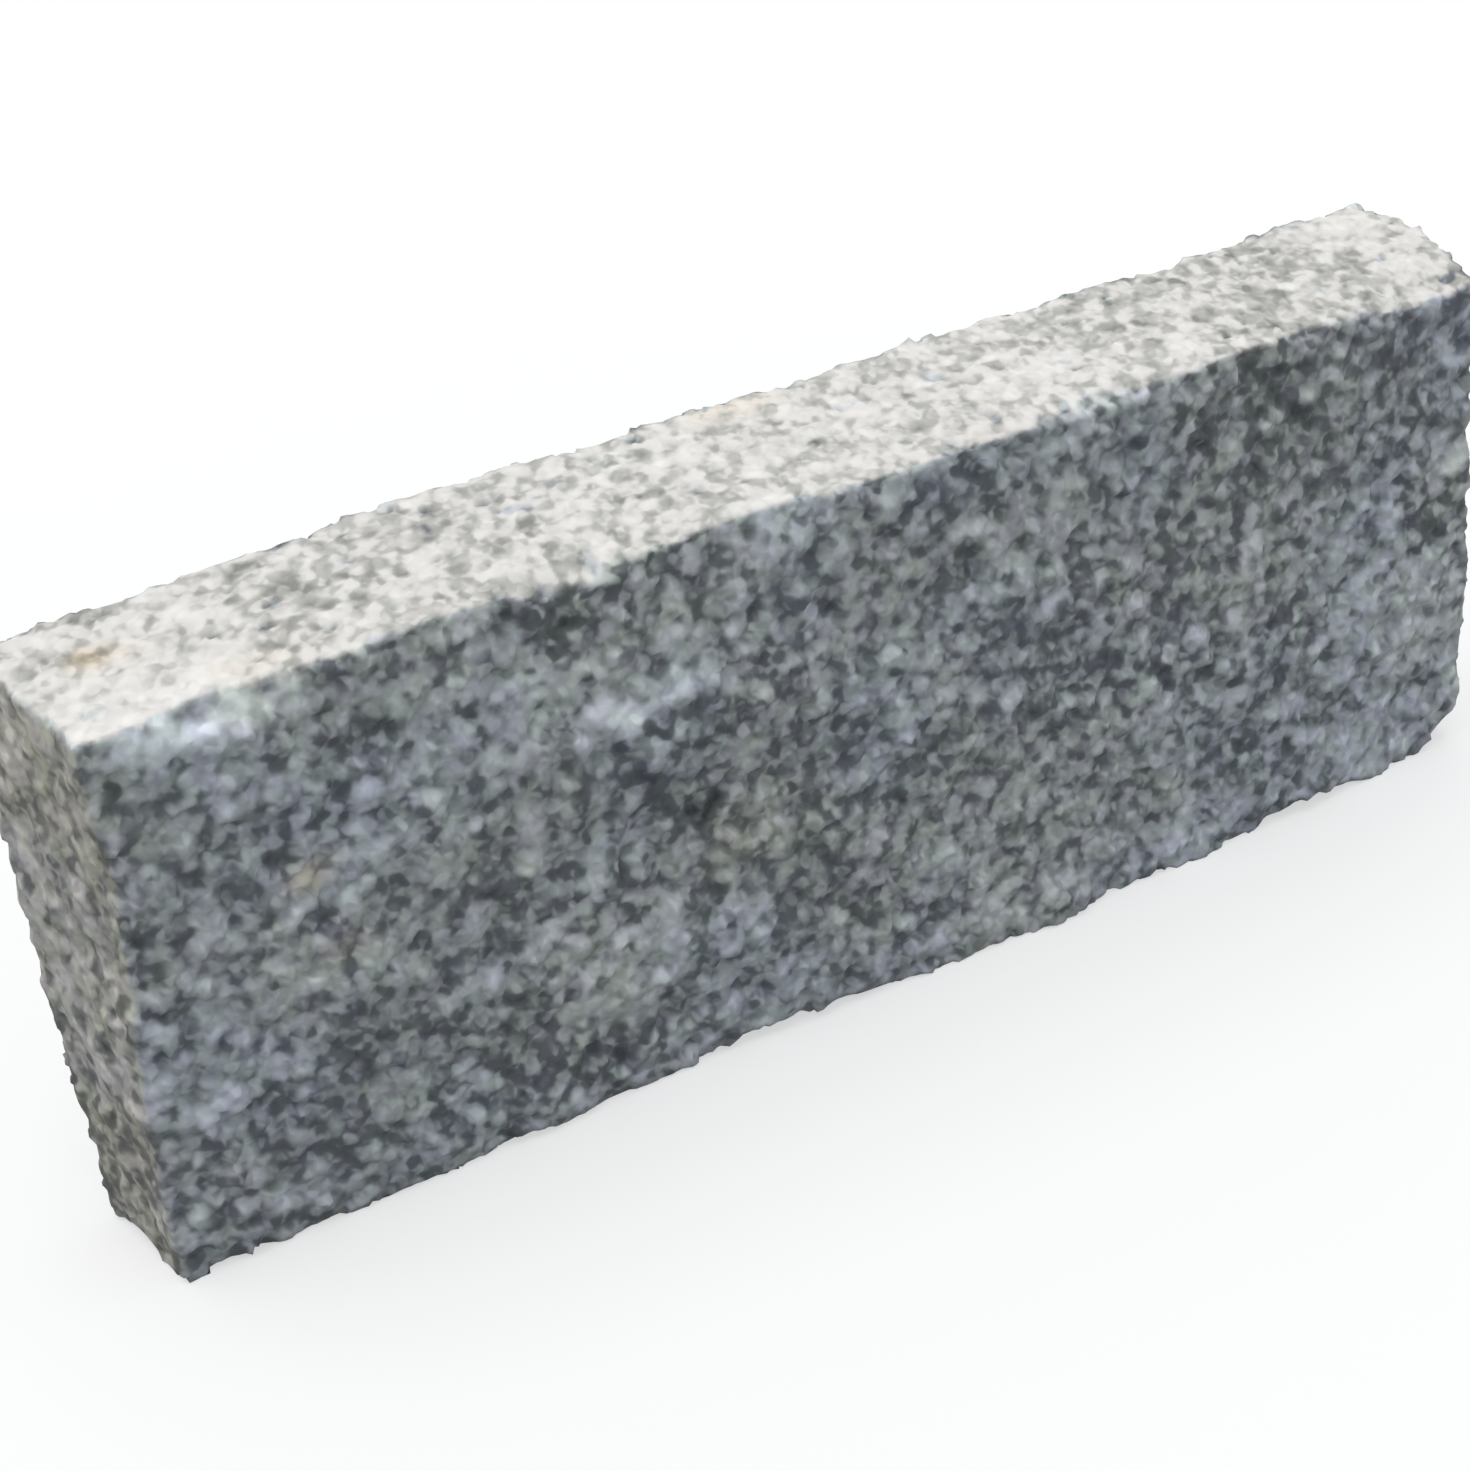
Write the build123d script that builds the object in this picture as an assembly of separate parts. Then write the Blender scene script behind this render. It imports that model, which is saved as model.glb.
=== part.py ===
from build123d import *

import math
import os
import random
from collections import namedtuple

# A short granite kerb stone: one block, split on its front, back and ends, dressed flat on top.
# It is set out in millimetres from its front lower left corner: x runs along the stone, y from the front
# to the back, z up. The finished stone is then moved so that the origin is under its middle, on its base.

# Overall size
LENGTH = 518.0
HEIGHT = 200.0
TOP_WIDTH = 72.0
BASE_WIDTH = 62.0

# How far each face leans or is skewed, measured over the whole face
FRONT_LEAN = 0.8
LEFT_END_SKEW = 9.0
RIGHT_END_SKEW = 11.0
RIGHT_END_LEAN = 18.0

# Ripples of the faces and, on the split ones, the hackle that the break left: the range of their wavelengths,
# their heights, and the seed that lays out each face's
WAVE_COUNT = 7
RIPPLE_SHORTEST = 75.0
RIPPLE_LONGEST = 190.0
FRONT_RIPPLE = 0.7
BACK_RIPPLE = 0.7
END_RIPPLE = 1.1
TOP_RIPPLE = 0.5
HACKLE_SHORTEST = 26.0
HACKLE_LONGEST = 50.0
HACKLE = 0.55
FRONT_SEED = 11
BACK_SEED = 23
LEFT_SEED = 37
RIGHT_SEED = 41
TOP_SEED = 53

# Spacing of the corners of a face's facets, how far each corner is thrown off its station, and how far the
# face and the rough block run past the stone
STATION = 11.5
THROW = 3.5
OVERRUN = 30.0

# A swell or hollow of a face: its place as a share along and a share across the face, its reach each way,
# and how far it stands out of the face (a hollow is negative)
Swell = namedtuple("Swell", "along across reach_along reach_across rise")

FRONT_SWELLS = [
    Swell(0.33, 0.68, 66, 20, 4.2),
    Swell(0.28, 0.91, 28, 12, -2.2),
    Swell(0.36, 0.50, 34, 17, -2.6),
    Swell(0.53, 0.78, 58, 24, -2.2),
    Swell(0.32, 0.23, 52, 22, 2.0),
    Swell(0.10, 0.52, 50, 46, 1.4),
    Swell(0.76, 0.42, 84, 44, 2.4),
    Swell(0.97, 0.49, 20, 16, -2.8),
    Swell(0.93, 0.10, 46, 24, -2.0),
    Swell(0.62, 0.04, 56, 30, 3.0),
    Swell(0.26, 0.02, 20, 16, 3.0),
    Swell(0.65, 0.01, 11, 12, 5.6),
    Swell(0.76, 0.02, 18, 16, 3.0),
    Swell(0.89, 0.01, 28, 16, 3.4),
]
BACK_SWELLS = [
    Swell(0.00, 0.00, 150, 52, -17.0),
    Swell(0.02, 0.52, 90, 60, -4.0),
    Swell(0.06, 1.00, 30, 40, -3.6),
    Swell(0.18, 1.00, 12, 20, -2.6),
    Swell(0.25, 1.00, 24, 30, 1.6),
    Swell(0.29, 0.96, 56, 60, 2.6),
    Swell(0.42, 1.00, 12, 20, -2.4),
    Swell(0.48, 1.00, 12, 20, 2.0),
    Swell(0.53, 1.00, 14, 20, -2.4),
    Swell(0.60, 1.00, 12, 20, -2.8),
    Swell(0.63, 0.96, 60, 50, 1.8),
    Swell(0.65, 1.00, 11, 20, 2.6),
    Swell(0.82, 0.96, 62, 50, -1.9),
    Swell(0.95, 0.85, 50, 40, -2.2),
]
LEFT_SWELLS = [
    Swell(0.35, 0.42, 26, 24, -2.4),
    Swell(0.70, 0.75, 24, 34, 1.8),
]
RIGHT_SWELLS = [
    Swell(0.62, 0.85, 34, 90, 7.4),
    Swell(1.00, 1.00, 16, 60, -7.0),
    Swell(0.00, 0.34, 30, 50, 2.2),
]
TOP_SWELLS = [
    Swell(0.20, 0.60, 60, 30, 0.8),
    Swell(0.62, 0.40, 80, 30, -0.9),
]

# A scar where a shell of stone has broken off an arris: its place as a share along the arris, its own length,
# and how far it reaches into the two faces that meet there. The front, back or end face comes first, and the
# top or base second. On an upright arris the end comes second.
Scar = namedtuple("Scar", "along length first second")

FRONT_TOP_SCARS = [
    Scar(0.083, 62, 9.5, 5.5),
    Scar(0.302, 48, 6.0, 13.0),
    Scar(0.445, 58, 8.0, 3.6),
    Scar(0.650, 96, 4.6, 13.0),
    Scar(0.838, 26, 6.0, 3.2),
    Scar(0.950, 74, 6.5, 20.0),
]
BACK_TOP_SCARS = [
    Scar(0.005, 24, 4.0, 8.0),
    Scar(0.387, 24, 3.0, 2.2),
    Scar(0.757, 22, 3.0, 2.0),
]
FRONT_BASE_SCARS = [
    Scar(0.045, 34, 3.6, 4.0),
    Scar(0.235, 26, 3.0, 4.0),
    Scar(0.415, 96, 5.2, 6.0),
    Scar(0.875, 60, 4.6, 5.0),
]
BACK_BASE_SCARS = [
    Scar(0.52, 70, 6.0, 7.0),
    Scar(0.86, 54, 5.0, 6.0),
]
FRONT_LEFT_SCARS = [
    Scar(0.41, 30, 4.2, 4.6),
    Scar(0.76, 26, 2.6, 4.0),
]
BACK_LEFT_SCARS = [
    Scar(0.30, 34, 5.0, 6.0),
]
LEFT_BASE_SCARS = [
    Scar(0.45, 40, 6.0, 5.0),
]

# The broken lower corner at the right end: how far it reaches along, up and into the stone
CORNER_ALONG = 18.0
CORNER_UP = 14.0
CORNER_DEEP = 40.0


def front_y(z):
    """The front face without its relief: it leans in towards the base."""
    return FRONT_LEAN * (1 - z / HEIGHT)


def back_y(z):
    """The back face without its relief: the stone is narrower at its base."""
    return BASE_WIDTH + FRONT_LEAN + (TOP_WIDTH - BASE_WIDTH - FRONT_LEAN) * z / HEIGHT


def left_x(y):
    """The left end without its relief: its back is further out than its front."""
    return -LEFT_END_SKEW * y / TOP_WIDTH


def right_x(y, z):
    """The right end without its relief: further out at the back, and leaning out towards the base."""
    return LENGTH + RIGHT_END_SKEW * y / TOP_WIDTH + RIGHT_END_LEAN * (1 / 2 - z / HEIGHT)


def waves(seed, height, shortest, longest):
    """Seeded waves of a face, as a function of two places on it."""
    draw = random.Random(seed)
    trains = []
    for _ in range(WAVE_COUNT):
        heading = draw.uniform(0, math.pi)
        turns = 2 * math.pi / draw.uniform(shortest, longest)
        start = draw.uniform(0, 2 * math.pi)
        trains.append((turns * math.cos(heading), turns * math.sin(heading), start))

    def at(u, v):
        total = sum(math.sin(a * u + b * v + start) for a, b, start in trains)
        return height * total / math.sqrt(WAVE_COUNT / 2)

    return at


def relief(swells, along, across, seed, ripple, hackle):
    """How far a face stands out at a place, as a function, from its swells, its ripples and its hackle."""
    ripples = waves(seed, ripple, RIPPLE_SHORTEST, RIPPLE_LONGEST)
    hackles = waves(seed + 1, hackle, HACKLE_SHORTEST, HACKLE_LONGEST)

    def at(u, v):
        out = ripples(u, v) + hackles(u, v)
        for s in swells:
            du = (u - s.along * along) / s.reach_along
            dv = (v - s.across * across) / s.reach_across
            out += s.rise * math.exp(-du * du - dv * dv)
        return out

    return at


def stations(length):
    """Even stations over a length and past both its ends."""
    count = math.ceil((length + 2 * OVERRUN) / STATION)
    step = (length + 2 * OVERRUN) / count
    return [-OVERRUN + i * step for i in range(count + 1)]


def corners(place, along, across, seed):
    """Rows of the facets' corners on a face, which passes through place(u, v). They are thrown off their
    stations, apart from those along the face's rim."""
    draw = random.Random(seed)
    us = stations(along)
    vs = stations(across)
    rows = []
    for u in us:
        row = []
        for v in vs:
            on_rim = u in (us[0], us[-1]) or v in (vs[0], vs[-1])
            throw = 0 if on_rim else THROW
            row.append(Vector(*place(u + draw.uniform(-throw, throw), v + draw.uniform(-throw, throw))))
        rows.append(row)
    return rows


def waste(place, along, across, seed, outward):
    """The stone that is split away in front of a face: a closed solid with the face's facets on one side, and
    a flat cap outside the rough block on the other."""
    rows = corners(place, along, across, seed)
    outward = Vector(outward)
    cap = max(corner.dot(outward) for row in rows for corner in row) + 2 * OVERRUN

    def pushed(corner):
        return corner + outward * (cap - corner.dot(outward))

    polygons = []
    for i, (near, far) in enumerate(zip(rows, rows[1:])):
        for j, (a, b, c, d) in enumerate(zip(near, far, far[1:], near[1:])):
            if (i + j) % 2:
                polygons += [(a, b, c), (a, c, d)]
            else:
                polygons += [(a, b, d), (b, c, d)]
    for rim in (rows[0], rows[-1], [row[0] for row in rows], [row[-1] for row in rows]):
        polygons.append((*rim, pushed(rim[-1]), pushed(rim[0])))
    polygons.append([pushed(corner) for corner in (rows[0][0], rows[-1][0], rows[-1][-1], rows[0][-1])])
    return Solid(Shell([Face(Wire.make_polygon(polygon)) for polygon in polygons]))


def front_waste():
    out = relief(FRONT_SWELLS, LENGTH, HEIGHT, FRONT_SEED, FRONT_RIPPLE, HACKLE)
    return waste(lambda x, z: (x, front_y(z) - out(x, z), z), LENGTH, HEIGHT, FRONT_SEED, (0, -1, 0))


def back_waste():
    out = relief(BACK_SWELLS, LENGTH, HEIGHT, BACK_SEED, BACK_RIPPLE, HACKLE)
    return waste(lambda x, z: (x, back_y(z) + out(x, z), z), LENGTH, HEIGHT, BACK_SEED, (0, 1, 0))


def left_waste():
    out = relief(LEFT_SWELLS, TOP_WIDTH, HEIGHT, LEFT_SEED, END_RIPPLE, HACKLE)
    return waste(lambda y, z: (left_x(y) - out(y, z), y, z), TOP_WIDTH, HEIGHT, LEFT_SEED, (-1, 0, 0))


def right_waste():
    out = relief(RIGHT_SWELLS, TOP_WIDTH, HEIGHT, RIGHT_SEED, END_RIPPLE, HACKLE)
    return waste(lambda y, z: (right_x(y, z) + out(y, z), y, z), TOP_WIDTH, HEIGHT, RIGHT_SEED, (1, 0, 0))


def top_waste():
    out = relief(TOP_SWELLS, LENGTH, TOP_WIDTH, TOP_SEED, TOP_RIPPLE, 0)
    return waste(lambda x, y: (x, y, HEIGHT + out(x, y)), LENGTH, TOP_WIDTH, TOP_SEED, (0, 0, 1))


def scar(size, corner, first, second):
    """A ball that breaks a scar of that size out of an arris. The arris passes through corner, and first and
    second point away from it, along the two faces that meet there."""
    corner = Vector(corner)
    first = Vector(first)
    second = Vector(second)
    chord = math.hypot(size.first, size.second)
    middle = corner + (first * size.first + second * size.second) / 2
    outward = -(first * size.second + second * size.first) / chord
    stand_off = (size.length / 2) ** 2 * chord / (2 * size.first * size.second)
    radius = math.hypot(stand_off, chord / 2)
    return Pos(*(middle + outward * stand_off)) * Sphere(radius)


def scars():
    """Every scar on the stone's arrises, and its broken corner."""
    front, back, up, down = (0, -1, 0), (0, 1, 0), (0, 0, 1), (0, 0, -1)
    left, right = (-1, 0, 0), (1, 0, 0)
    balls = []
    for s in FRONT_TOP_SCARS:
        balls.append(scar(s, (s.along * LENGTH, front_y(HEIGHT), HEIGHT), down, back))
    for s in BACK_TOP_SCARS:
        balls.append(scar(s, (s.along * LENGTH, back_y(HEIGHT), HEIGHT), down, front))
    for s in FRONT_BASE_SCARS:
        balls.append(scar(s, (s.along * LENGTH, front_y(0), 0), up, back))
    for s in BACK_BASE_SCARS:
        balls.append(scar(s, (s.along * LENGTH, back_y(0), 0), up, front))
    for s in FRONT_LEFT_SCARS:
        z = s.along * HEIGHT
        balls.append(scar(s, (left_x(front_y(z)), front_y(z), z), right, back))
    for s in BACK_LEFT_SCARS:
        z = s.along * HEIGHT
        balls.append(scar(s, (left_x(back_y(z)), back_y(z), z), right, front))
    for s in LEFT_BASE_SCARS:
        y = s.along * BASE_WIDTH
        balls.append(scar(s, (left_x(y), y, 0), up, right))
    broken = Scar(1.0, 2 * CORNER_DEEP, CORNER_ALONG, CORNER_UP)
    balls.append(scar(broken, (right_x(front_y(0), 0), front_y(0), 0), left, up))
    return balls


def kerb_stone():
    """The whole stone, with its origin under the middle of its box."""
    rough = Box(LENGTH + 2 * OVERRUN, TOP_WIDTH + 2 * OVERRUN, HEIGHT + OVERRUN, align=(Align.MIN,) * 3)
    rough = Pos(-OVERRUN, -OVERRUN, 0) * rough
    for cut in (front_waste(), back_waste(), left_waste(), right_waste(), top_waste()):
        rough = rough - cut
    stone = rough - scars()
    box = stone.bounding_box()
    return Pos(-box.center().X, -box.center().Y, -box.min.Z) * stone


os.makedirs("parts", exist_ok=True)
export_step(kerb_stone(), "parts/kerb_stone.step")
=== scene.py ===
import math
from collections import namedtuple

import bpy
import numpy as np
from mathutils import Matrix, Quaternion, Vector, noise


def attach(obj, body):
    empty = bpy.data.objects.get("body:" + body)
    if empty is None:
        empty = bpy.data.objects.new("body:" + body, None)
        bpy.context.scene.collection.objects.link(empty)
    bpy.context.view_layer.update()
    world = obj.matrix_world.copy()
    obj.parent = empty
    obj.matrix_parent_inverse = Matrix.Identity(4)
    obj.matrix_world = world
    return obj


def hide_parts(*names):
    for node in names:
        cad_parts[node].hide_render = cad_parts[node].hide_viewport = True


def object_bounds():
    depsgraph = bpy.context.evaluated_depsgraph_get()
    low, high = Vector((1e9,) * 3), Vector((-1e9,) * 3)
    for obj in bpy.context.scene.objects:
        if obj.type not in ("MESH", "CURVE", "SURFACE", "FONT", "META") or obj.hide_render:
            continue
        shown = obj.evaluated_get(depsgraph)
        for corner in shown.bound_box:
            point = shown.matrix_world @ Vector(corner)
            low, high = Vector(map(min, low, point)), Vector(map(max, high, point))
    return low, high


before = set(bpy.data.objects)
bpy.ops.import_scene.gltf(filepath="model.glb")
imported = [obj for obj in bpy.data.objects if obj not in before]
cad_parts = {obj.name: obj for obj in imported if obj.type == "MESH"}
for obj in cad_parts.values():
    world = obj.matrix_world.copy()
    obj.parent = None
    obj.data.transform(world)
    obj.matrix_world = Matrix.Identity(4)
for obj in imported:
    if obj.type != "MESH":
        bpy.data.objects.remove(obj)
cad_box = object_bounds()

MM = 0.001
NODE = "kerb_stone"

# The camera: angles in degrees, distance, and the point it looks at, from the middle of the stone's box
CAMERA_AZIMUTH = -30.52
CAMERA_ELEVATION = 33.14
CAMERA_ROLL = -2.63
CAMERA_DISTANCE = 986.8 * MM
CAMERA_TARGET = (-30.3 * MM, 11.2 * MM, -10.2 * MM)
FOCAL_PIXELS = 2951.7
IMAGE_LONG_SIDE = 1471
SENSOR = 36.0

# The light: a wide soft sun from above, behind and to the left, and a pale sky
SUN_STRENGTH = 1.25
SUN_COLOR = (1.03, 1.0, 0.96)
SUN_ANGLE = 55.0
SUN_FROM = (-0.18, 0.06, 1.0)
SKY_STRENGTH = 0.66
SKY_COLOR = (0.96, 1.0, 1.04)

# The background is white, and so is the floor, which throws little light back and has a thinned-out shadow
WHITE = (1.0, 1.0, 1.0, 1)
FLOOR_SIZE = 12.0
FLOOR_SEEN = (0.97, 0.97, 0.97, 1)
FLOOR_BOUNCE = (0.15, 0.15, 0.15, 1)
FLOOR_WHITE_SHARE = 0.55


def set_camera():
    """The camera, at the angle the photograph was taken from."""
    low, high = cad_box
    target = (low + high) / 2 + Vector(CAMERA_TARGET)
    a = math.radians(CAMERA_AZIMUTH)
    e = math.radians(CAMERA_ELEVATION)
    back = Vector((math.sin(a) * math.cos(e), -math.cos(a) * math.cos(e), math.sin(e)))
    camera = bpy.data.objects.new("camera", bpy.data.cameras.new("camera"))
    camera.data.sensor_width = SENSOR
    camera.data.lens = FOCAL_PIXELS / IMAGE_LONG_SIDE * SENSOR
    camera.location = target + back * CAMERA_DISTANCE
    camera.rotation_mode = "QUATERNION"
    roll = Quaternion((0, 0, 1), math.radians(CAMERA_ROLL))
    camera.rotation_quaternion = (-back).to_track_quat("-Z", "Y") @ roll
    bpy.context.scene.collection.objects.link(camera)
    bpy.context.scene.camera = camera


def new_material(name):
    """An empty material, and its node tree."""
    material = bpy.data.materials.new(name)
    material.use_nodes = True
    material.node_tree.nodes.clear()
    return material, material.node_tree


def add(tree, kind, inputs=None, **settings):
    """Adds a node: settings are its properties, and inputs maps sockets to values or links."""
    made = tree.nodes.new(kind)
    for name, value in settings.items():
        setattr(made, name, value)
    for name, value in (inputs or {}).items():
        if isinstance(value, bpy.types.NodeSocket):
            tree.links.new(value, made.inputs[name])
        else:
            made.inputs[name].default_value = value
    return made


def math_node(tree, operation, first, second, third=0.0):
    """One step of arithmetic on numbers or links."""
    inputs = {0: first, 1: second, 2: third}
    return add(tree, "ShaderNodeMath", inputs, operation=operation).outputs[0]


def mix_colors(tree, factor, first, second, blend="MIX"):
    """The first colour at a factor of 0, and the second mixed or blended into it at 1."""
    inputs = {0: factor, 6: first, 7: second}
    return add(tree, "ShaderNodeMix", inputs, data_type="RGBA", blend_type=blend).outputs[2]


def ramp(tree, value, low, high):
    """0 up to a low value and 1 from a high one, with a smooth rise between."""
    inputs = {0: value, 1: low, 2: high}
    return add(tree, "ShaderNodeMapRange", inputs, interpolation_type="SMOOTHSTEP").outputs[0]


def seen_directly(tree):
    """1 for rays from the camera, in a mirror or through glass, and 0 for light that bounces."""
    path = add(tree, "ShaderNodeLightPath")
    glossy = math_node(tree, "MAXIMUM", path.outputs["Is Camera Ray"], path.outputs["Is Glossy Ray"])
    return math_node(tree, "MAXIMUM", glossy, path.outputs["Is Transmission Ray"])


def floor_material():
    """A nearly white surface, with a share of plain white that takes no shadow."""
    material, tree = new_material("floor")
    seen = seen_directly(tree)
    color = mix_colors(tree, seen, FLOOR_BOUNCE, FLOOR_SEEN)
    lit = add(tree, "ShaderNodeBsdfDiffuse", {"Color": color}).outputs[0]
    plain = add(tree, "ShaderNodeEmission", {"Color": WHITE, "Strength": 1.0}).outputs[0]
    share = math_node(tree, "MULTIPLY", seen, FLOOR_WHITE_SHARE)
    surface = add(tree, "ShaderNodeMixShader", {0: share, 1: lit, 2: plain})
    add(tree, "ShaderNodeOutputMaterial", {"Surface": surface.outputs[0]})
    return material


def make_floor():
    """The wide flat floor that the stone stands on."""
    mesh = bpy.data.meshes.new("floor")
    h = FLOOR_SIZE / 2
    mesh.from_pydata([(-h, -h, 0), (h, -h, 0), (h, h, 0), (-h, h, 0)], [], [(0, 1, 2, 3)])
    floor = bpy.data.objects.new("floor", mesh)
    floor.data.materials.append(floor_material())
    bpy.context.scene.collection.objects.link(floor)


def make_sun():
    """The soft lamp that whitens the top of the stone."""
    sun = bpy.data.objects.new("sun", bpy.data.lights.new("sun", "SUN"))
    sun.data.energy = SUN_STRENGTH
    sun.data.color = SUN_COLOR
    sun.data.angle = math.radians(SUN_ANGLE)
    sun.rotation_mode = "QUATERNION"
    sun.rotation_quaternion = (-Vector(SUN_FROM)).to_track_quat("-Z", "Y")
    bpy.context.scene.collection.objects.link(sun)


def make_sky():
    """A sky that looks white, and lights the stone less."""
    world = bpy.data.worlds.new("sky")
    world.use_nodes = True
    tree = world.node_tree
    tree.nodes.clear()
    light = [SKY_STRENGTH * c for c in SKY_COLOR]
    color = mix_colors(tree, seen_directly(tree), (*light, 1), WHITE)
    background = add(tree, "ShaderNodeBackground", {"Color": color})
    add(tree, "ShaderNodeOutputWorld", {"Surface": background.outputs[0]})
    bpy.context.scene.world = world


# The even mesh of the stone: the width of its quads in metres, and how it is smoothed
QUAD = 1.9 * MM
SMOOTHING = 0.5
SMOOTHING_ROUNDS = 3

# The fine relief of the split faces and the base: depths and widths in metres
HACKLE_DEPTH = 1.2 * MM
HACKLE_WIDTH = 14 * MM
HACKLE_ROUGHNESS = 0.7
HACKLE_OCTAVES = 2
FACET_DEPTH = 1.4 * MM
FACET_WIDTH = 9 * MM
FACET_STEP = 0.6
GRAIN_DEPTH = 0.8 * MM
GRAIN_WIDTH = 4 * MM
BASE_RELIEF = 0.8 * MM
LACUNARITY = 2.0

# How much of that relief the dressed top and the ends have
DRESSED_SHARE = 0.35
END_SHARE = 0.6

# What a cell's middle is multiplied by, to draw the tilt of its facet and its step up or down
TILT_DRAW = 7.0
STEP_DRAW = 3.0

# Easing: how far each round goes, and how many rounds the normals and the faces get
EASE_SHARE = 0.7
NORMAL_ROUNDS = 8
FACE_ROUNDS = 10

# Each kind of face: the cosine between normal and axis where it starts, and the span until it is whole
DRESSED = (0.75, 0.12)
BASE = (0.75, 0.2)
FLAT = (0.85, 0.1)
END = (0.6, 0.3)

# The ragged border of the dressed top: its waves, and how far they shift that cosine
ARRIS_WIDTH = 8 * MM
ARRIS_ROUGHNESS = 0.8
ARRIS_OCTAVES = 2
ARRIS_RAGGED = 0.30

# Painted shade: how much lighter high grains are than hollows, up to how many usual depths, and how warm
# the ends are painted as warmer light
PAINTED_HOLLOW_SHADE = 0.05
PAINTED_SHADE_REACH = 2
PAINTED_END_WARM_LIGHT = 1.1

# A mark: its middle and its reach in millimetres, and how much lighter and warmer it makes the stone
Mark = namedtuple("Mark", "x y z reach_x reach_y reach_z lift warmth")

MARKS = (
    # bruised white under the left end of the front arris, and along a ridge of the front face
    Mark(-240, -35, 194, 20, 14, 7, 0.34, -0.4),
    Mark(-212, -35, 191, 22, 14, 8, 0.30, -0.2),
    Mark(-138, -35, 147, 14, 14, 5, 0.20, 0.0),
    Mark(-88, -35, 152, 26, 14, 9, 0.16, -0.3),
    Mark(-107, -35, 153, 5, 14, 3, 0.45, -0.5),
    Mark(-99, -35, 150, 5, 14, 3, 0.60, -0.5),
    Mark(-91, -35, 147, 6, 14, 2.6, 0.70, -0.5),
    Mark(-82, -35, 149, 5, 14, 3, 0.65, -0.5),
    Mark(-75, -35, 153, 5, 14, 4, 0.80, -0.5),
    Mark(-65, -35, 151, 4, 14, 3, 0.60, -0.5),
    Mark(-56, -35, 165, 24, 14, 14, 0.16, 0.0),
    # pale strips where the front arris broke off
    Mark(-30, -35, 197, 24, 14, 6, 0.16, 0.0),
    Mark(28, -35, 197, 26, 14, 7, 0.16, 0.0),
    Mark(96, -35, 197, 26, 14, 7, 0.16, 0.0),
    # painted shade of dark pits in the front face
    Mark(-116, -35, 182, 6, 10, 5, -0.40, 0.0),
    Mark(-120, -35, 193, 6, 10, 4, -0.25, 0.0),
    Mark(-88, -35, 117, 5, 10, 8, -0.40, 0.0),
    Mark(-70, -35, 101, 7, 10, 3.5, -0.75, 0.0),
    Mark(238, -35, 102, 7, 10, 6, -0.45, 0.0),
    # lighter and darker zones of the front face
    Mark(-95, -35, 56, 16, 14, 18, 0.22, 0.0),
    Mark(-216, -35, 15, 14, 14, 5, 0.30, -0.4),
    Mark(-112, -35, 20, 28, 14, 10, -0.18, 0.2),
    Mark(10, -35, 155, 30, 14, 20, -0.06, 0.0),
    Mark(-80, -35, 122, 26, 14, 14, 0.10, 0.0),
    Mark(128, -35, 134, 26, 14, 18, -0.12, 0.0),
    Mark(225, -35, 62, 26, 14, 20, 0.14, -0.3),
    Mark(246, -35, 126, 6, 12, 4, 0.45, 0.5),
    # rust and warm dust
    Mark(-203, -35, 132, 10, 14, 7, 0.22, 1.7),
    Mark(-195, -35, 104, 13, 14, 9, 0.04, 0.9),
    Mark(-196, -35, 62, 14, 14, 16, -0.08, 0.5),
    Mark(-56, -35, 87, 26, 14, 18, 0.10, 0.7),
    Mark(-244, 8, 200, 6, 5, 8, -0.22, 1.1),
    Mark(-240, 6, 200, 14, 9, 8, -0.08, 0.7),
    Mark(-208, -24, 200, 22, 9, 6, 0.08, 0.6),
    Mark(-14, 32, 200, 26, 10, 6, 0.0, 0.7),
)


def dense_copy():
    """A fine even mesh of the CAD stone, as a new object."""
    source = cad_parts[NODE]
    stone = bpy.data.objects.new("stone", source.data.copy())
    stone.data.materials.clear()
    bpy.context.scene.collection.objects.link(stone)
    remesh = stone.modifiers.new("even", "REMESH")
    remesh.mode = "VOXEL"
    remesh.voxel_size = QUAD
    smooth = stone.modifiers.new("smooth", "SMOOTH")
    smooth.factor = SMOOTHING
    smooth.iterations = SMOOTHING_ROUNDS
    graph = bpy.context.evaluated_depsgraph_get()
    mesh = bpy.data.meshes.new_from_object(stone.evaluated_get(graph))
    stone.modifiers.clear()
    stone.data = mesh
    return stone


def mesh_arrays(mesh):
    """The places and the normals of a mesh's points, and the two ends of each edge."""
    places = np.empty(len(mesh.vertices) * 3)
    mesh.vertices.foreach_get("co", places)
    normals = np.empty(len(mesh.vertices) * 3)
    mesh.vertex_normals.foreach_get("vector", normals)
    ends = np.empty(len(mesh.edges) * 2, dtype=np.int32)
    mesh.edges.foreach_get("vertices", ends)
    return places.reshape(-1, 3), normals.reshape(-1, 3), ends.reshape(-1, 2)


def eased(values, ends, share, rounds):
    """Vectors drawn towards the mean of their neighbours, by a share of the way each round."""
    count = np.bincount(ends.ravel(), minlength=len(values))[:, None]
    for _ in range(rounds):
        total = np.zeros_like(values)
        np.add.at(total, ends[:, 0], values[ends[:, 1]])
        np.add.at(total, ends[:, 1], values[ends[:, 0]])
        values = values + share * (total / count - values)
    return values


def grown(cosine, start, span):
    """0 up to a start and 1 from a span past it, with a straight rise between."""
    return np.clip((cosine - start) / span, 0, 1)


def raggedness(place):
    """The waves of the dressed top's border, at a place."""
    return noise.fractal(Vector(place) / ARRIS_WIDTH, ARRIS_ROUGHNESS, LACUNARITY, ARRIS_OCTAVES)


def facet(place):
    """The height of a broken crystal face: a flat tilted patch for each cell, stepped up or down."""
    middle = noise.voronoi(place)[1][0]
    tilt = 2 * noise.cell_vector(middle * TILT_DRAW) - Vector((1, 1, 1))
    return (place - middle).dot(tilt) + FACET_STEP * (noise.cell(middle * STEP_DRAW) - 0.5)


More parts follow.
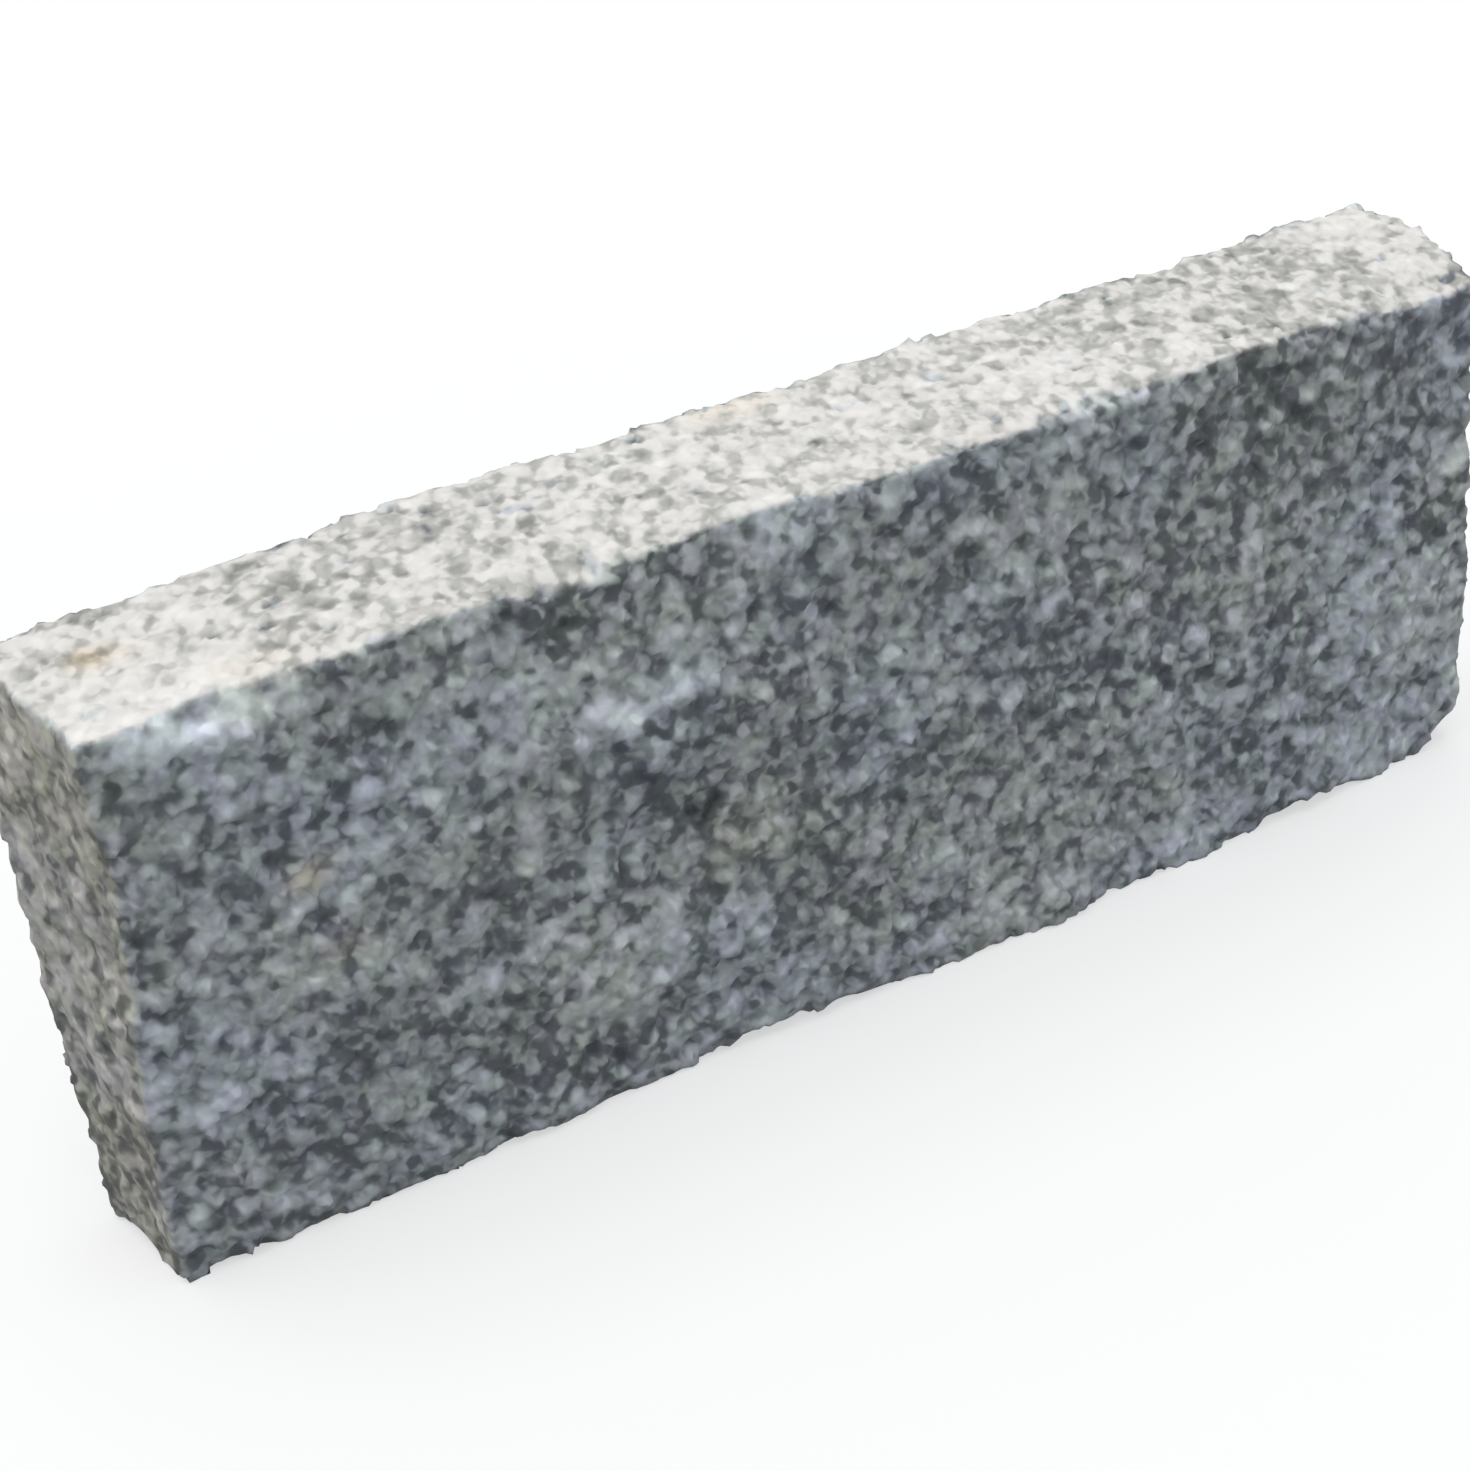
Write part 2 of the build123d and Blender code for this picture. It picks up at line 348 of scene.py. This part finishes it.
def broken_height(place):
    """How far the broken stone stands out at a place on a split face."""
    p = Vector(place)
    hackle = noise.fractal(p / HACKLE_WIDTH, HACKLE_ROUGHNESS, LACUNARITY, HACKLE_OCTAVES)
    grain = noise.noise(p / GRAIN_WIDTH)
    return HACKLE_DEPTH * hackle + FACET_DEPTH * facet(p / FACET_WIDTH) + GRAIN_DEPTH * grain


def marks(places):
    """How much lighter and how much warmer the marks make each place, given in millimetres."""
    lift = np.zeros(len(places))
    warmth = np.zeros(len(places))
    for m in MARKS:
        away = (places - (m.x, m.y, m.z)) / (m.reach_x, m.reach_y, m.reach_z)
        share = np.exp(-(away**2).sum(axis=1))
        lift += m.lift * share
        warmth += m.warmth * share
    return lift, warmth


def keep(mesh, name, values):
    """Keeps a number or a vector for each point of a mesh, for its material to read."""
    kind, field = ("FLOAT_VECTOR", "vector") if values.ndim == 2 else ("FLOAT", "value")
    attribute = mesh.attributes.new(name, kind, "POINT")
    attribute.data.foreach_set(field, values.ravel().astype(np.float32))


def roughen(stone):
    """Breaks up the even mesh along its normals, inside the CAD stone's box."""
    mesh = stone.data
    places, normals, ends = mesh_arrays(mesh)
    normals = eased(normals, ends, EASE_SHARE, NORMAL_ROUNDS)
    normals /= np.linalg.norm(normals, axis=1)[:, None]
    ragged = np.array([raggedness(place) for place in places])
    dressed = grown(normals[:, 2] + ARRIS_RAGGED * ragged, *DRESSED)
    base = grown(-normals[:, 2], *BASE)
    flat = grown(abs(normals).max(axis=1), *FLAT)
    end = grown(abs(normals[:, 0]), *END)
    places = eased(places, ends, EASE_SHARE * flat[:, None], FACE_ROUNDS)
    out = np.array([broken_height(place) for place in places])
    share = 1 - (1 - DRESSED_SHARE) * dressed - (1 - END_SHARE) * end
    height = out * share * (1 - base)
    moved = places + normals * height[:, None]
    spread = out / out.std()
    moved[:, 2] += base * np.clip(BASE_RELIEF / 2 * (spread + 1), 0, None)
    low, high = cad_box
    moved = np.clip(moved, np.array(low), np.array(high))
    mesh.vertices.foreach_set("co", moved.ravel())
    lift, warmth = marks(places / MM)
    # the lift also carries painted light on high grains and painted shade in the hollows
    keep(mesh, "lift", lift + PAINTED_HOLLOW_SHADE * np.clip(spread, -PAINTED_SHADE_REACH, PAINTED_SHADE_REACH))
    # the ends are painted warmer, as the warmer light on them, besides the rust and dust of the marks
    keep(mesh, "warmth", warmth + PAINTED_END_WARM_LIGHT * end)
    # the dressed top, where the material paints sunlight as well as the dressing
    keep(mesh, "dressed", dressed)
    keep(mesh, "place", places)
    mesh.shade_smooth()
    mesh.update()


# The grains are drawn out along one direction: degrees from x, degrees below level, and how far
GRAIN_HEADING = 60.0
GRAIN_DIP = 33.0
GRAIN_STRETCH = 1.5

# The tone: its middle, and its soft clouds, as how many there are in a metre and how far they shift it
MIDDLE_TONE = 0.5
CLOUDS = ((150.0, 0.55), (60.0, 0.20), (28.0, 0.25), (12.0, 0.35), (5.0, 0.30))

# The crystals: how many there are in a metre and how much they differ in tone, and their soft wavy rims
CRYSTALS = ((220.0, 0.60), (390.0, 0.42))
CRYSTAL_SOFTNESS = 0.8
RIM_WAVE = 1.8 * MM
RIM_SCALE = 280.0

# Albedo along the tone scale: on the split faces, bluish partly as painted sky shade, and where the stone
# was dressed, lighter and warmer partly as painted sunlight
TONES = (
    (-0.30, (0.03, 0.034, 0.04, 1)),
    (0.20, (0.156, 0.168, 0.176, 1)),
    (0.50, (0.442, 0.46, 0.456, 1)),
    (1.20, (0.94, 0.96, 0.97, 1)),
)
DRESSED_TONES_PAINTED_SUN = (
    (-0.10, (0.26, 0.26, 0.245, 1)),
    (0.25, (0.51, 0.50, 0.47, 1)),
    (0.45, (0.69, 0.67, 0.635, 1)),
    (0.60, (0.76, 0.735, 0.70, 1)),
    (1.10, (0.90, 0.88, 0.85, 1)),
)

# Tints of the split faces: how many patches there are in a metre, and the two colours they go between
TINTS = (
    (120.0, (0.96, 1.01, 0.97, 1), (0.98, 0.98, 1.05, 1)),
    (17.0, (1.01, 1.01, 0.985, 1), (0.965, 0.98, 1.045, 1)),
)
TINT_DETAIL = 1.0
TINT_EDGES = (0.35, 0.65)

# The tint of rust, warm dust and the warm light painted on the ends, and the warmth at which it is full
WARM = (1.12, 0.96, 0.76, 1)
FULL_WARMTH = 2.0

# The finest roughness: how many pores there are in a metre, and how deep and how strong the bump is
PORE_SCALE = 450.0
PORE_DETAIL = 1.0
PORE_ROUGHNESS = 0.6
PORE_DEPTH = 0.14 * MM
PORE_STRENGTH = 0.7
ROUGHNESS = 0.75


def kept(tree, name, output="Fac"):
    """What the mesh keeps under a name."""
    return add(tree, "ShaderNodeAttribute", attribute_name=name).outputs[output]


def noise_at(tree, place, scale, detail=0.0, roughness=0.5, output="Fac"):
    """Noise of 0 to 1, with so many waves in a metre."""
    inputs = {"Vector": place, "Scale": scale, "Detail": detail, "Roughness": roughness}
    return add(tree, "ShaderNodeTexNoise", inputs).outputs[output]


def color_ramp(tree, value, stops):
    """A colour from a value, between stops of (value, colour)."""
    first, last = stops[0][0], stops[-1][0]
    share = add(tree, "ShaderNodeMapRange", {0: value, 1: first, 2: last}).outputs[0]
    made = add(tree, "ShaderNodeValToRGB", {0: share})
    elements = made.color_ramp.elements
    while len(elements) < len(stops):
        elements.new(0.5)
    for element, (position, color) in zip(elements, stops):
        element.position = (position - first) / (last - first)
        element.color = color
    return made.outputs[0]


def shifted(tree, tone, draw, share):
    """A tone made lighter or darker by a draw of 0 to 1, by up to half the share either way."""
    lift = math_node(tree, "MULTIPLY_ADD", draw, share, -share / 2)
    return math_node(tree, "ADD", lift, tone)


def crystal_draw(tree, place, scale):
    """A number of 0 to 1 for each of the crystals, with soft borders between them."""
    inputs = {"Vector": place, "Scale": scale, "Smoothness": CRYSTAL_SOFTNESS}
    cell = add(tree, "ShaderNodeTexVoronoi", inputs, feature="SMOOTH_F1")
    return add(tree, "ShaderNodeSeparateColor", {0: cell.outputs["Color"]}).outputs[0]


def waved(tree, place):
    """The place moved about a little, so that the crystals' rims aren't straight."""
    wave = noise_at(tree, place, RIM_SCALE, output="Color")
    wave = add(tree, "ShaderNodeVectorMath", {0: wave, 1: (0.5, 0.5, 0.5)}, operation="SUBTRACT").outputs[0]
    shift = {0: wave, 1: (RIM_WAVE,) * 3, 2: place}
    return add(tree, "ShaderNodeVectorMath", shift, operation="MULTIPLY_ADD").outputs[0]


def granite_tone(tree, place):
    """How light the granite is: its marks, the painted shade of its hollows and pits, its clouds and its
    crystals.
    """
    tone = math_node(tree, "ADD", kept(tree, "lift"), MIDDLE_TONE)
    for scale, share in CLOUDS:
        tone = shifted(tree, tone, noise_at(tree, place, scale), share)
    rim_place = waved(tree, place)
    for scale, share in CRYSTALS:
        tone = shifted(tree, tone, crystal_draw(tree, rim_place, scale), share)
    return tone


def granite():
    """Split granite, whitened where it was dressed and as painted sunlight on the top, and warm where it is
    rusty or dusty and as painted warm light on the ends.
    """
    material, tree = new_material("granite")
    turn = (0, math.radians(GRAIN_DIP), math.radians(GRAIN_HEADING))
    drawn = {0: kept(tree, "place", "Vector"), 2: turn, 3: (GRAIN_STRETCH, 1, 1)}
    place = add(tree, "ShaderNodeMapping", drawn, vector_type="TEXTURE").outputs[0]
    tone = granite_tone(tree, place)
    split = color_ramp(tree, tone, TONES)
    for scale, first, second in TINTS:
        hue = noise_at(tree, place, scale, TINT_DETAIL)
        tint = mix_colors(tree, ramp(tree, hue, *TINT_EDGES), first, second)
        split = mix_colors(tree, 1.0, split, tint, "MULTIPLY")
    # the dressed top takes lighter, warmer tones, partly the dressing and partly painted sunlight
    color = mix_colors(tree, kept(tree, "dressed"), split, color_ramp(tree, tone, DRESSED_TONES_PAINTED_SUN))
    # warm where rusty or dusty, and painted warm light on the ends
    warm = mix_colors(tree, 1.0, color, WARM, "MULTIPLY")
    color = mix_colors(tree, ramp(tree, kept(tree, "warmth"), 0.0, FULL_WARMTH), color, warm)
    pores = noise_at(tree, place, PORE_SCALE, PORE_DETAIL, PORE_ROUGHNESS)
    bump = add(tree, "ShaderNodeBump", {"Height": pores, "Distance": PORE_DEPTH, "Strength": PORE_STRENGTH})
    inputs = {"Base Color": color, "Roughness": ROUGHNESS, "Normal": bump.outputs[0]}
    surface = add(tree, "ShaderNodeBsdfPrincipled", inputs)
    add(tree, "ShaderNodeOutputMaterial", {"Surface": surface.outputs[0]})
    return material


def make_stone():
    """The stone in its final shape and material, in place of the CAD solid."""
    stone = dense_copy()
    roughen(stone)
    stone.data.materials.append(granite())
    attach(stone, "root")
    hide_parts(NODE)


set_camera()
make_floor()
make_sun()
make_sky()
make_stone()
bpy.context.scene.view_settings.view_transform = "Standard"
